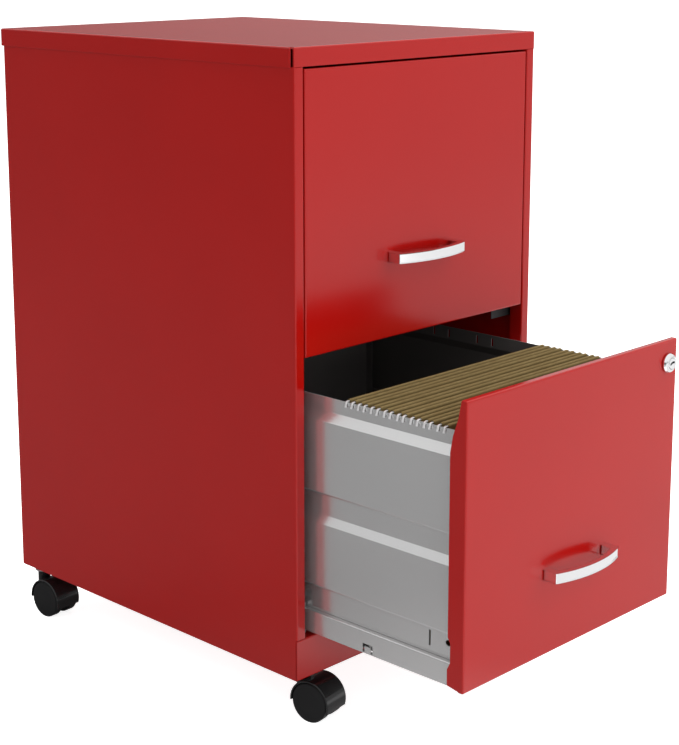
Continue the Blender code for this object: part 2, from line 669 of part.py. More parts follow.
clear_scene()
parts = new_collection("filing_cabinet")
cutters = new_collection("cutters")
cabinet_root = axis_empty("cabinet_corner", (0.0, FRONT_Y, CASTER_HEIGHT))
build_cabinet(cabinet_root)
build_drawer("upper", cabinet_root, UPPER_FRONT_BOTTOM, 0.0)
build_drawer("lower", cabinet_root, LOWER_FRONT_BOTTOM, LOWER_OPEN)
caster_hood, caster_wheel, caster_stem = hood_mesh(), wheel_mesh(), stem_mesh()
for corner_name, (corner_x, corner_y, corner_turn) in CASTERS.items():
    build_caster(corner_name, corner_x, corner_y, corner_turn, caster_hood, caster_wheel, caster_stem)
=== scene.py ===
import math

import bmesh
import bpy
import numpy as np
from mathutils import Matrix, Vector


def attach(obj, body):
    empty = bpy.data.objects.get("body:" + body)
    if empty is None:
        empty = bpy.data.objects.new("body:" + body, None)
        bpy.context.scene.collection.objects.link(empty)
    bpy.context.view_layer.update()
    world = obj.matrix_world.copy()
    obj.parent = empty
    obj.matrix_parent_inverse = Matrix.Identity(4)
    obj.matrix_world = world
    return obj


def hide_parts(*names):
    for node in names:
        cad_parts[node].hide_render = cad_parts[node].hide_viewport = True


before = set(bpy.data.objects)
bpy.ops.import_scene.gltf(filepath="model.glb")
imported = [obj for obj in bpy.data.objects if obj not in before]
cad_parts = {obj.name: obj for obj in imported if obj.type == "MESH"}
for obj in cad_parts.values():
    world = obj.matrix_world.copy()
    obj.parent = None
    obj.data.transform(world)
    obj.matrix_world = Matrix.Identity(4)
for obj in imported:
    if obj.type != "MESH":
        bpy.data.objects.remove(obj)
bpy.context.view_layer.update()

mm = 0.001
frontY = -116.25            # front plane of the cabinet's body, in mm
floorToBody = 51.0          # height of the casters
smoothAngle = math.radians(32)

# where each assembly's own corner is, in mm: middle, front plane, lower edge
corners = {
    "cabinet": (0.0, frontY, floorToBody),
    "upper": (0.0, frontY, floorToBody + 326.5),
    "lower": (0.0, frontY - 200.0, floorToBody + 47.0),
}


def newObject(name, data):
    obj = bpy.data.objects.new(name, data)
    bpy.context.scene.collection.objects.link(obj)
    return obj


# Turns arrays of vertices and faces into a closed mesh: doubles are merged, and the
# faces are turned over if the volume they enclose comes out negative. Folds are 1 at
# vertices on a bend, where the finish wears.
def makeObject(name, points, faces, place, folds=None):
    mesh = bpy.data.meshes.new(name)
    spots = (np.asarray(points, float).reshape(-1, 3) + np.array(place)) * mm
    mesh.from_pydata(spots.tolist(), [], faces)
    if folds is not None:
        layer = mesh.attributes.new("fold", "FLOAT", "POINT")
        layer.data.foreach_set("value", np.asarray(folds, np.float32).ravel())
    shape = bmesh.new()
    shape.from_mesh(mesh)
    bmesh.ops.remove_doubles(shape, verts=shape.verts, dist=2e-6)
    bmesh.ops.dissolve_degenerate(shape, edges=shape.edges, dist=1e-7)
    if shape.calc_volume(signed=True) < 0:
        bmesh.ops.reverse_faces(shape, faces=shape.faces)
    shape.to_mesh(mesh)
    shape.free()
    mesh.shade_smooth()
    mesh.set_sharp_from_angle(angle=smoothAngle)
    return newObject(name, mesh)


# Quads between neighbouring rows and columns of a grid of vertex numbers.
def quads(grid):
    a, b, c, d = grid[:-1, :-1], grid[1:, :-1], grid[1:, 1:], grid[:-1, 1:]
    return np.stack([a, b, c, d], -1).reshape(-1, 4).tolist()


# Faces of a skin of closed rings: quads round each pair of rings, a polygon at each end.
def ringFaces(rows, columns):
    index = np.arange(rows * columns).reshape(rows, columns)
    return quads(np.hstack([index, index[:, :1]])) + [index[0][::-1].tolist(), index[-1].tolist()]


# A polyline with a tangent arc at each corner. At a corner the arc starts
# radius*tan(turn/2) before it, and its points are the arc's centre less the radius times
# the left normal, which turns evenly from one edge's to the next. One more point stands
# just before and just after each arc, so the flats between arcs are shaded flat. Gives
# the points, their left normals, and 1 on arcs and 0 on straights.
def filletPath(points, radius, steps=4, closed=False):
    p = np.asarray(points, float)
    if closed:
        p = np.vstack([p[-1:], p, p[:1]])
    edge = np.diff(p, axis=0)
    length = np.hypot(edge[:, 0], edge[:, 1])
    d = edge / length[:, None]
    normal = np.stack([-d[:, 1], d[:, 0]], 1)
    cross = d[:-1, 0] * d[1:, 1] - d[:-1, 1] * d[1:, 0]
    turn = np.arctan2(cross, (d[:-1] * d[1:]).sum(1))
    radii = np.broadcast_to(np.asarray(radius, float), turn.shape)
    room = 0.49 * np.minimum(length[:-1], length[1:])
    half = np.maximum(np.tan(np.abs(turn) / 2), 1e-9)
    cut = np.minimum(radii * half, room)
    r = cut / half
    t = np.concatenate([[0.0], np.linspace(0, 1, steps + 1), [1.0]])
    angle = turn[:, None] * t
    n = normal[:-1]
    n = np.stack([
        n[:, :1] * np.cos(angle) - n[:, 1:] * np.sin(angle),
        n[:, :1] * np.sin(angle) + n[:, 1:] * np.cos(angle)], -1)
    side = np.sign(turn)[:, None]
    start = p[1:-1] - d[:-1] * cut[:, None]
    centre = start + normal[:-1] * r[:, None] * side
    arc = centre[:, None] - n * (r[:, None] * side)[..., None]
    before = np.append(cut[-1] if closed else 0.0, cut)
    after = np.append(cut, cut[0] if closed else 0.0)
    spare = np.minimum(0.4 * (length - before - after), 0.25)
    arc[:, 0] -= d[:-1] * spare[:-1, None]
    arc[:, -1] += d[1:] * spare[1:, None]
    bent = np.abs(turn) > 0.02          # a straight corner keeps one point
    keep = np.repeat(bent[:, None], steps + 3, 1)
    keep[:, 0] = True
    arc[~bent, 0] = p[1:-1][~bent]
    spots, normals = arc[keep], n[keep]
    fold = np.repeat(bent[:, None], steps + 3, 1) * 1.0
    fold[:, [0, -1]] = 0.0
    fold = fold[keep]
    if not closed:
        spots = np.vstack([p[:1], spots, p[-1:]])
        normals = np.vstack([normal[:1], normals, normal[-1:]])
        fold = np.concatenate([[0.0], fold, [0.0]])
    return spots, normals, fold


# Puts distance along an axis and two coordinates across it in x, y, z order.
def across(axis, along, first, second):
    order = {"x": (along, first, second), "y": (first, along, second), "z": (first, second, along)}
    return np.stack(np.broadcast_arrays(*order[axis]), -1)


# Folded sheet: point(s, a, k) = path(s) + k * thickness * left normal(s), carried to the
# distance a along an axis, with k = 0 on one face and 1 on the other. Cells named as
# missing are left out, and every border of the cells that stay gets a rim.
def foldedSheet(name, path, axis, along, thickness, radius, place, missing=(), startAt=None):
    spots, normals, fold = filletPath(path, radius)
    along = np.broadcast_to(np.asarray(along, float), (len(spots), len(along))).copy()
    if startAt is not None:
        along[:, 0] = startAt(spots)
    n, m = along.shape
    skins = np.stack([spots, spots + normals * thickness])
    points = across(axis, along[None], skins[:, :, None, 0], skins[:, :, None, 1])
    index = np.arange(2 * n * m).reshape(2, n, m)
    middle = (spots[:-1] + spots[1:]) / 2
    level = (along[0, :-1] + along[0, 1:]) / 2
    cell = np.ones((n - 1, m - 1), bool)
    for low, high, start, end in missing:
        inside = (middle >= np.array(low)).all(1) & (middle <= np.array(high)).all(1)
        cell &= ~(inside[:, None] & ((level >= start) & (level <= end))[None])
    faces = []
    for g, step in zip(index, (1, -1)):
        ring = np.stack([g[:-1, :-1], g[1:, :-1], g[1:, 1:], g[:-1, 1:]], -1)[cell]
        faces += ring[:, ::step].tolist()
    padded = np.pad(cell, 1)
    # each side's step to the neighbouring cell, and its two corners
    borders = (-1, 0, 0, 0, 0, 1), (1, 0, 1, 1, 1, 0), (0, -1, 1, 0, 0, 0), (0, 1, 0, 1, 1, 1)
    for di, dj, i0, j0, i1, j1 in borders:
        beyond = padded[1 + di:n + di, 1 + dj:m + dj]
        i, j = np.nonzero(cell & ~beyond)
        a, b = (i + i0, j + j0), (i + i1, j + j1)
        faces += np.stack([index[0][a], index[0][b], index[1][b], index[1][a]], -1).tolist()
    used = np.zeros(2 * n * m, bool)
    used[np.unique(np.concatenate([np.ravel(f) for f in faces]))] = True
    renumber = np.cumsum(used) - 1
    faces = [[int(renumber[v]) for v in f] for f in faces]
    folds = np.broadcast_to(fold[None, :, None], (2, n, m)).ravel()[used]
    return makeObject(name, points.reshape(-1, 3)[used], faces, place, folds)


# Pan: rings of an outline moved inwards by an inset and back by a depth. The rings go
# round the bend from the face to the wall, down the wall to its own depth at each point,
# over its rim, and up again inside; the face and its back are one flat polygon each. A
# point goes inwards along its normal as far as the corner's centre, and from there on
# it is held inside the outline's rectangle made smaller by the inset.
def pan(name, outline, axis, level, facing, depthAt, thickness, radius, place, cornerRadius=0.8):
    spots, normals, _ = filletPath(outline, cornerRadius, closed=True)
    turn = np.radians(np.linspace(0, 90, 6))
    ease = 0.18                     # breaks the rim's two edges
    outerInset = radius * (1 - np.sin(turn))
    outerDepth = radius * (1 - np.cos(turn))
    inner = max(radius - thickness, 0.2)
    innerInset = thickness + inner * (1 - np.sin(turn[::-1]))
    innerDepth = thickness + inner * (1 - np.cos(turn[::-1]))
    deep = depthAt(spots)
    edge, below = radius + 0.5, radius + 0.4        # end of the flat face, start of the wall
    insets = [edge, *outerInset, 0, 0, ease, thickness - ease, thickness, thickness, *innerInset, edge]
    depths = [0, *outerDepth, below, deep - ease, deep, deep, deep - ease, below, *innerDepth, thickness]
    insets, depths = (np.array([row + 0 * deep for row in rows]) for rows in (insets, depths))
    ring = spots[None] + normals[None] * np.minimum(insets, cornerRadius)[..., None]
    ring = np.clip(ring, spots.min(0) + insets[..., None], spots.max(0) - insets[..., None])
    points = across(axis, level - facing * depths, ring[..., 0], ring[..., 1])
    bend = np.zeros(len(insets))
    bend[1:1 + len(turn)] = 1.0
    folds = np.broadcast_to(bend[:, None], insets.shape)
    return makeObject(name, points, ringFaces(*insets.shape), place, folds)


# Slab: a closed outline carried along an axis, its edges rounded by rings that are
# inset by radius*(1 - sin t) at radius*(1 - cos t) from each end.
def slab(name, outline, axis, low, high, cornerRadius, edgeRadius, place, steps=4, arcSteps=4):
    spots, normals, _ = filletPath(outline, cornerRadius, arcSteps, closed=True)
    t = np.radians(np.linspace(0, 90, steps + 1))
    guard = 0.2 * edgeRadius
    inset = edgeRadius * np.concatenate([1 - np.sin(t), [0.0, 0.0], 1 - np.sin(t[::-1])])
    inset = np.concatenate([[inset[0] + guard], inset, [inset[-1] + guard]])
    rise = edgeRadius * (1 - np.cos(t))
    level = np.concatenate([
        [low], low + rise, [low + edgeRadius + guard, high - edgeRadius - guard], high - rise[::-1], [high]])
    ring = spots[None] + normals[None] * inset[:, None, None]
    points = across(axis, level[:, None], ring[..., 0], ring[..., 1])
    return makeObject(name, points, ringFaces(*points.shape[:2]), place)


# Turned: the point at radius r and distance a of a rounded profile is turned to
# (r cos t, r sin t) round the axis.
def turned(name, profile, axis, place, radius=0.5, segments=64, steps=4, first=0.0, last=360.0):
    spots, _, _ = filletPath(profile, radius, steps)
    whole = last - first >= 360.0
    t = np.radians(np.linspace(first, last, segments + 1))
    if whole:
        t = t[:-1]
    r, a = spots[:, :1], spots[:, 1:]
    points = across(axis, a + 0 * t, r * np.cos(t), r * np.sin(t))
    index = np.arange(points.shape[0] * len(t)).reshape(points.shape[0], len(t))
    if whole:
        faces = quads(np.hstack([index, index[:, :1]]))
    else:
        faces = quads(index) + [index[:, 0].tolist(), index[:, -1][::-1].tolist()]
    return makeObject(name, points, faces, place)


# Drill: a plain cylinder that cuts a hole, from low to high along its axis.
def drill(axis, place, radius, low, high, segments=32):
    ring = [(0, low), (radius, low), (radius, high), (0, high)]
    return turned("hole", ring, axis, place, 0.01, segments)


# Rod: a rounded section carried along a path; the frame at each point is the tangent, a
# fixed side direction made square to it, and their cross product. The section's points are
# half the width and height times cos t and sin t, each to the power 0.6 with its sign kept.
def rodSurface(path, width, height, sides=12):
    p, sideways = np.asarray(path, float), np.array([0.0, 1.0, 0.0])
    tangent = np.gradient(p, axis=0)
    tangent /= np.linalg.norm(tangent, axis=1)[:, None]
    side = sideways - tangent * (tangent @ sideways)[:, None]
    side /= np.linalg.norm(side, axis=1)[:, None]
    third = np.cross(tangent, side)
    t = np.linspace(0, 2 * np.pi, sides, endpoint=False)
    flat = lambda w: np.sign(w) * np.abs(w) ** 0.6
    wide = flat(np.cos(t)) * width / 2
    tall = flat(np.sin(t)) * height / 2
    points = p[:, None] + side[:, None] * wide[None, :, None] + third[:, None] * tall[None, :, None]
    return points.reshape(-1, 3), ringFaces(len(p), sides)


# Several surfaces in one mesh; each one's faces count on from the last one's vertices.
def together(name, surfaces, place, folds=None):
    points, faces, count = [], [], 0
    for spots, some in surfaces:
        points.append(spots)
        faces += [[v + count for v in face] for face in some]
        count += len(spots)
    return makeObject(name, np.vstack(points), faces, place, folds)


# Joins or cuts finished shapes, and keeps only the result.
def carve(obj, others, operation="DIFFERENCE"):
    for other in others:
        step = obj.modifiers.new("step", "BOOLEAN")
        step.operation = operation
        step.solver = "EXACT"
        step.object = other
    bpy.context.view_layer.update()
    graph = bpy.context.evaluated_depsgraph_get()
    shaped = bpy.data.meshes.new_from_object(obj.evaluated_get(graph))
    obj.modifiers.clear()
    obj.data = shaped
    shaped.shade_smooth()
    shaped.set_sharp_from_angle(angle=smoothAngle)
    for other in others:
        bpy.data.objects.remove(other, do_unlink=True)


# A copy of a finished shape: mirrored in x, then turned about z, then shifted.
def copyOf(obj, name, mirror=False, turn=0.0, shift=(0.0, 0.0, 0.0)):
    mesh = obj.data.copy()
    spots = np.empty(len(mesh.vertices) * 3)
    mesh.vertices.foreach_get("co", spots)
    spots = spots.reshape(-1, 3)
    if mirror:
        spots[:, 0] *= -1
    c, s = math.cos(math.radians(turn)), math.sin(math.radians(turn))
    spots = spots @ np.array([[c, s, 0], [-s, c, 0], [0, 0, 1]]) + np.array(shift) * mm
    mesh.vertices.foreach_set("co", spots.ravel())
    if mirror:
        mesh.flip_normals()
    mesh.update()
    return newObject(name, mesh)


print("surfaces: ready")


# A node group with a Vector input, its other inputs and their values, and float outputs.
def newGroup(name, inputs, *outputs):
    group = bpy.data.node_groups.new(name, "ShaderNodeTree")
    for label, value in {"Vector": (0, 0, 0), **inputs}.items():
        kind = "NodeSocketVector" if isinstance(value, tuple) else "NodeSocketFloat"
        group.interface.new_socket(label, in_out="INPUT", socket_type=kind).default_value = value
    for label in outputs:
        group.interface.new_socket(label, in_out="OUTPUT", socket_type="NodeSocketFloat")
    return group, group.nodes.new("NodeGroupInput").outputs, group.nodes.new("NodeGroupOutput")


def connect(tree, node, sources):
    for key, source in sources.items():
        tree.links.new(source, node.inputs[key])
    return tree


def addNode(tree, kind, links=None, **values):
    node = tree.nodes.new(kind)
    for key, value in values.items():
        setattr(node, key, value)
    for key, source in (links or {}).items():
        socket = node.inputs[key]
        if isinstance(source, (int, float, tuple)):
            socket.default_value = source
        else:
            tree.links.new(source, socket)
    return node


def mathNode(tree, operation, *sources, clamp=False):
    node = addNode(tree, "ShaderNodeMath", dict(enumerate(sources)), operation=operation, use_clamp=clamp)
    return node.outputs[0]


def times(tree, first, second, clamp=False):
    return mathNode(tree, "MULTIPLY", first, second, clamp=clamp)


def mapped(tree, source, fromLow, fromHigh, low, high):
    node = addNode(tree, "ShaderNodeMapRange", {
        "Value": source, "From Min": fromLow, "From Max": fromHigh, "To Min": low, "To Max": high})
    return node.outputs[0]


def noise(tree, where, scale, detail, roughness=0.5):
    node = addNode(tree, "ShaderNodeTexNoise", {
        "Vector": where, "Scale": scale, "Detail": detail, "Roughness": roughness})
    return node.outputs["Fac"]


def mixColour(tree, mask, *colours):
    first, second = ((*c, 1.0) if isinstance(c, tuple) else c for c in colours)
    return addNode(tree, "ShaderNodeMix", {0: mask, 6: first, 7: second}, data_type="RGBA").outputs[2]


# fine dimples of a baked powder coat, with a slow drift of tone and of gloss
def coatGroup():
    group, inside, outside = newGroup("powderCoat", {"Grain": 620.0}, "Height", "Tone", "Gloss")
    where, grain = inside["Vector"], inside["Grain"]
    peel = noise(group, where, grain, 2.0, 0.4)
    fine = noise(group, where, times(group, grain, 3.6), 2.0)
    slow = noise(group, where, 7.0, 3.0)
    smear = noise(group, where, 34.0, 4.0, 0.6)
    height = mathNode(group, "ADD", peel, times(group, fine, 0.35))
    return connect(group, outside, {"Height": height, "Tone": slow, "Gloss": smear})


# a mask along bends, broken up by noise: coat is thinner there and the sheet gets rubbed
def wearGroup():
    group, inside, outside = newGroup("edgeWear", {"Amount": 0.5}, "Mask")
    fold = addNode(group, "ShaderNodeAttribute", attribute_name="fold")
    broken = noise(group, inside["Vector"], 95.0, 5.0, 0.65)
    mask = times(group, fold.outputs["Fac"], mapped(group, broken, 0.42, 0.68, 0.25, 1.0))
    mask = times(group, mask, inside["Amount"], clamp=True)
    return connect(group, outside, {"Mask": mask})


# hairline marks: noise drawn out along the direction with the smallest of the three scales
def hairlineGroup():
    group, inside, outside = newGroup(
        "hairlines", {"Density": 1.0, "Along": (8.0, 900.0, 900.0)}, "Height", "Mask")
    stretched = addNode(
        group, "ShaderNodeVectorMath", {0: inside["Vector"], 1: inside["Along"]}, operation="MULTIPLY")
    lines = noise(group, stretched.outputs[0], 1.0, 3.0, 0.7)
    mask = times(group, mapped(group, lines, 0.55, 0.75, 0.0, 1.0), inside["Density"], clamp=True)
    return connect(group, outside, {"Height": lines, "Mask": mask})


# dust that settles on faces that look up, in soft patches with small specks
def dustGroup():
    group, inside, outside = newGroup("settledDust", {"Amount": 0.3}, "Mask")
    face = addNode(group, "ShaderNodeNewGeometry")
    up = addNode(group, "ShaderNodeSeparateXYZ", {0: face.outputs["Normal"]}).outputs["Z"]
    patch = noise(group, inside["Vector"], 12.0, 6.0, 0.7)
    speck = noise(group, inside["Vector"], 1400.0, 1.0)
    mask = times(group, patch, speck)
    mask = times(group, mask, mapped(group, up, 0.3, 1.0, 0.15, 1.0))
    mask = times(group, mask, inside["Amount"], clamp=True)
    return connect(group, outside, {"Mask": mask})


# short crossing fibres and mottling of pressed paper stock
def fibreGroup():
    group, inside, outside = newGroup("paperFibres", {}, "Height", "Tone")
    where = inside["Vector"]
    fibres = []
    for turn, scale in (((0.3, 0.4, 0.6), (500, 2600, 2600)), ((0.9, -0.5, -0.7), (2400, 600, 2400))):
        laid = addNode(group, "ShaderNodeMapping", {"Vector": where, "Rotation": turn, "Scale": scale})
        fibres.append(noise(group, laid.outputs[0], 1.0, 3.0))
    both = mathNode(group, "MAXIMUM", *fibres)
    mottle = times(group, noise(group, where, 60.0, 5.0), 0.5)
    tone = mathNode(group, "ADD", times(group, both, 0.5), mottle)
    return connect(group, outside, {"Height": both, "Tone": tone})


effects = {
    "coat": coatGroup(), "wear": wearGroup(), "hairline": hairlineGroup(),
    "dust": dustGroup(), "fibre": fibreGroup(),
}


def startMaterial(name, metallic, roughness):
    material = bpy.data.materials.new(name)
    material.use_nodes = True
    tree = material.node_tree
    shader = tree.nodes["Principled BSDF"]
    shader.inputs["Metallic"].default_value = metallic
    shader.inputs["Roughness"].default_value = roughness
    where = addNode(tree, "ShaderNodeTexCoord").outputs["Object"]
    return material, tree, shader, where


def effect(tree, name, where, **values):
    node = tree.nodes.new("ShaderNodeGroup")
    node.node_tree = effects[name]
    tree.links.new(where, node.inputs["Vector"])
    for key, value in values.items():
        node.inputs[key].default_value = value
    return node.outputs


def bump(tree, shader, height, strength, distance):
    node = addNode(tree, "ShaderNodeBump", {"Height": height, "Strength": strength, "Distance": distance})
    tree.links.new(node.outputs[0], shader.inputs["Normal"])


redValues = {
    "colour": (0.333, 0.0029, 0.0018),
    "deep": (0.316, 0.0025, 0.0015),
    "edge": (0.38, 0.008, 0.006),
    "dust": (0.45, 0.36, 0.33),
    "dustAmount": 0.012,
    "wear": 0.07,
    "roughness": (0.165, 0.185),
    "specular": 0.43,
    "peelDepth": 0.00004,     # in metres, as every bump distance is
}


def redPaint():
    v = redValues
    material, tree, shader, where = startMaterial("redPowderCoat", 0.0, 0.28)
    coat = effect(tree, "coat", where, Grain=620.0)
    wear = effect(tree, "wear", where, Amount=v["wear"])
    dust = effect(tree, "dust", where, Amount=v["dustAmount"])
    tone = mapped(tree, coat["Tone"], 0.3, 0.7, 0.0, 1.0)
    colour = mixColour(tree, tone, v["deep"], v["colour"])
    colour = mixColour(tree, wear["Mask"], colour, v["edge"])
    colour = mixColour(tree, dust["Mask"], colour, v["dust"])
    gloss = mapped(tree, coat["Gloss"], 0.3, 0.7, *v["roughness"])
    gloss = mathNode(tree, "ADD", gloss, times(tree, dust["Mask"], 0.6))
    connect(tree, shader, {"Base Color": colour, "Roughness": gloss})
    shader.inputs["Specular IOR Level"].default_value = v["specular"]
    bump(tree, shader, coat["Height"], 0.30, v["peelDepth"])
    return material


greyValues = {
    "outside": (0.69, 0.69, 0.69),
    "outsideDeep": (0.67, 0.67, 0.67),
    # painted shade: the near black given to every face inside the drawer
    "inside": (0.110, 0.100, 0.096),
    "edge": (0.76, 0.76, 0.77),
    "dust": (0.50, 0.48, 0.45),
    "metallic": 0.80,
    "roughness": (0.21, 0.225),
}


# the drawer steel is light grey; faces inside the drawer get a near black painted shade and no metal: the
# mask is 1 where a face looks towards the drawer's middle, from the signs of x and of the normal's x
def greySteelShadedInside(name):
    v = greyValues
    material, tree, shader, where = startMaterial(name, v["metallic"], 0.3)
    coat = effect(tree, "coat", where, Grain=900.0)
    wear = effect(tree, "wear", where, Amount=0.35)
    dust = effect(tree, "dust", where, Amount=0.03)
    colour = mixColour(tree, mapped(tree, coat["Tone"], 0.3, 0.7, 0.0, 1.0), v["outsideDeep"], v["outside"])
    colour = mixColour(tree, wear["Mask"], colour, v["edge"])
    colour = mixColour(tree, dust["Mask"], colour, v["dust"])
    spot = addNode(tree, "ShaderNodeSeparateXYZ", {0: where})
    face = addNode(tree, "ShaderNodeNewGeometry")
    facing = addNode(tree, "ShaderNodeSeparateXYZ", {0: face.outputs["Normal"]})
    # mask of the painted shade: faces that look into the drawer
    inward = times(tree, mathNode(tree, "SIGN", spot.outputs["X"]), facing.outputs["X"])
    inner = mapped(tree, inward, -0.15, 0.15, 1.0, 0.0)
    colour = mixColour(tree, inner, colour, v["inside"])
    metal = mapped(tree, inner, 0.0, 1.0, v["metallic"], 0.0)
    gloss = mapped(tree, coat["Gloss"], 0.3, 0.7, *v["roughness"])
    connect(tree, shader, {"Base Color": colour, "Metallic": metal, "Roughness": gloss})
    bump(tree, shader, coat["Height"], 0.2, 0.00004)
    return material


def plainFinish(name, colour, roughness, metallic=0.0, specular=0.5):
    material, tree, shader, where = startMaterial(name, metallic, roughness)
    coat = effect(tree, "coat", where, Grain=800.0)
    dust = effect(tree, "dust", where, Amount=0.02)
    lighter = tuple(min(1.0, c * 1.25 + 0.002) for c in colour)
    shade = mixColour(tree, mapped(tree, coat["Tone"], 0.3, 0.7, 0.0, 1.0), colour, lighter)
    shade = mixColour(tree, dust["Mask"], shade, (0.2, 0.19, 0.18))
    gloss = mapped(tree, coat["Gloss"], 0.3, 0.7, roughness - 0.05, roughness + 0.06)
    connect(tree, shader, {"Base Color": shade, "Roughness": gloss})
    shader.inputs["Specular IOR Level"].default_value = specular
    bump(tree, shader, coat["Height"], 0.3, 0.00005)
    return material


def zincSteel(name, low, high):
    material, tree, shader, where = startMaterial(name, 1.0, 0.3)
    lines = effect(tree, "hairline", where, Density=0.8, Along=(900.0, 9.0, 900.0))
    coat = effect(tree, "coat", where, Grain=260.0)
    colour = mixColour(tree, mapped(tree, coat["Height"], 0.4, 0.9, 0.0, 1.0), low, high)
    colour = mixColour(tree, lines["Mask"], colour, tuple(min(1.0, c * 1.25) for c in high))
    gloss = mapped(tree, lines["Height"], 0.3, 0.7, 0.22, 0.40)
    connect(tree, shader, {"Base Color": colour, "Roughness": gloss})
    bump(tree, shader, lines["Height"], 0.25, 0.00002)
    return material


def chromePlate():
    material, tree, shader, where = startMaterial("polishedChrome", 1.0, 0.06)
    lines = effect(tree, "hairline", where, Density=0.5, Along=(60.0, 2200.0, 2200.0))
    smear = effect(tree, "coat", where, Grain=300.0)
    colour = mixColour(tree, lines["Mask"], (0.86, 0.86, 0.87), (0.78, 0.78, 0.78))
    gloss = mapped(tree, smear["Gloss"], 0.35, 0.7, 0.035, 0.10)
    gloss = mathNode(tree, "ADD", gloss, times(tree, lines["Mask"], 0.06))
    connect(tree, shader, {"Base Color": colour, "Roughness": gloss})
    bump(tree, shader, lines["Height"], 0.05, 0.00001)
    return material


def folderPaper(name, colour, edge):
    material, tree, shader, where = startMaterial(name, 0.0, 0.85)
    fibre = effect(tree, "fibre", where)
    wear = effect(tree, "wear", where, Amount=1.0)
    darker = tuple(c * 0.78 for c in colour)
    shade = mixColour(tree, mapped(tree, fibre["Tone"], 0.4, 0.65, 0.0, 1.0), darker, colour)
    shade = mixColour(tree, wear["Mask"], shade, edge)
    gloss = mapped(tree, fibre["Tone"], 0.4, 0.65, 0.75, 0.92)
    connect(tree, shader, {"Base Color": shade, "Roughness": gloss})
    shader.inputs["Specular IOR Level"].default_value = 0.06
    bump(tree, shader, fibre["Height"], 0.5, 0.00008)
    return material


materials = {
    "red": redPaint(),
    "grey": greySteelShadedInside("greyDrawerSteel"),
    # painted shade: the drawer's back and bottoms get the same near black as the faces inside the drawer
    "paintedShadeSteel": plainFinish("drawerInnerSteel", (0.110, 0.100, 0.096), 0.42),
    "slide": greySteelShadedInside("drawerSlideSteel"),
    "zinc": zincSteel("zincPlatedSteel", (0.44, 0.45, 0.47), (0.60, 0.60, 0.59)),
    "strike": plainFinish("phosphatedSteel", (0.02, 0.02, 0.021), 0.5),
    "chrome": chromePlate(),
    "hood": plainFinish("glossyBlackNylon", (0.005, 0.005, 0.0055), 0.12),
    "wheel": plainFinish("mouldedWheelNylon", (0.005, 0.005, 0.0055), 0.36, 0.0, 0.25),
    "paper": folderPaper("oliveFolderStock", (0.185, 0.130, 0.052), (0.205, 0.150, 0.066)),
    "hook": plainFinish("nickelHookSteel", (0.58, 0.58, 0.58), 0.25, 0.3),
}
print("finishes: ready")


def coatWith(obj, material):
    obj.data.materials.clear()
    obj.data.materials.append(materials[material])


def settle(obj, body, slotName, material, *nodes):
    coatWith(obj, material)
    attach(obj, body)
    if nodes:
        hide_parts(*nodes)


# a left piece and its mirror image on the right, each for its own node
def settlePair(left, body, slotName, material, node):
    right = copyOf(left, left.name.replace("_left", "_right"), mirror=True)
    settle(left, body, slotName, material, f"{node}_left")
    settle(right, body, slotName, material, f"{node}_right")


shell = {
    "halfWidth": 180.0,
    "depth": 457.0,
    "height": 622.5,
    "sheet": 1.0,
    "bend": 1.7,          # outside radius of a fold
    "post": 12.0,
    "hem": 16.0,          # of the post, folded back
    "overhang": 1.5,      # of the top panel
    "capFlange": 19.0,
    "header": 18.5,
    "kick": 42.5,
    "gap": 0.3,           # between neighbouring panels
}


def buildShell():
    s = shell
    w, back, sheet, gap = s["halfWidth"], s["depth"] - s["overhang"], s["sheet"], s["gap"]
    top = s["height"] - sheet - gap
    place = corners["cabinet"]
    kickTop = s["kick"] + gap
    headerLow = s["height"] - s["header"] - gap
    post = -w + s["post"]
    path = [(post, back), (-w, back), (-w, 0), (post, 0), (post, s["hem"])]
    chamfer = lambda spots: np.clip(spots[:, 1] - (back - 5.0), 0.0, 5.0)
    levels = [0, kickTop, headerLow, top]
    missing = [
        ((-w - 1, -1), (post + 1, s["hem"] + 1), -1, kickTop),      # the post stops above the kick panel
        ((-w + 1.2, -1), (post - 0.2, 1.0), headerLow, top),        # room for the header
    ]
    left = foldedSheet("side_left", path, "z", levels, sheet, s["bend"], place, missing, chamfer)
    settlePair(left, "cabinet", "red_paint", "red", "side_panel")

    o = w + s["overhang"]
    notch = 5.0
    outline = [
        (-w, 0), (w, 0), (w, notch), (o, notch), (o, s["depth"]), (-o, s["depth"]), (-o, notch), (-w, notch)]
    flange = lambda spots: np.where(spots[:, 1] < notch - 0.01, s["header"], s["capFlange"])
    cap = pan("top_cap", outline, "z", s["height"], 1, flange, sheet, s["bend"], place, 0.6)
    settle(cap, "cabinet", "red_paint", "red", "top_panel")

    path = [(10.0, s["kick"]), (0.0, s["kick"]), (0.0, 0.0), (12.0, 0.0)]
    inner = w - sheet - gap
    missing = [((s["bend"], -1), (20, 50), -w, -inner), ((s["bend"], -1), (20, 50), inner, w)]
    kick = foldedSheet("kick", path, "x", [-w, -inner, inner, w], sheet, s["bend"], place, missing)
    settle(kick, "cabinet", "red_paint", "red", "kick_panel")

    inside = w - sheet - 0.4
    path = [(-inside, 14.0), (-inside, 1.3), (inside, 1.3), (inside, 14.0)]
    tray = foldedSheet("bottom_tray", path, "y", [sheet + 0.4, s["depth"] - 4.5], sheet, 1.4, place)
    stems = [(x, frontY + y, floorToBody) for x, y, _ in casters["places"].values()]
    carve(tray, [drill("z", stem, 4.4, -5, 9) for stem in stems])
    settle(tray, "cabinet", "red_paint", "red", "bottom_panel")


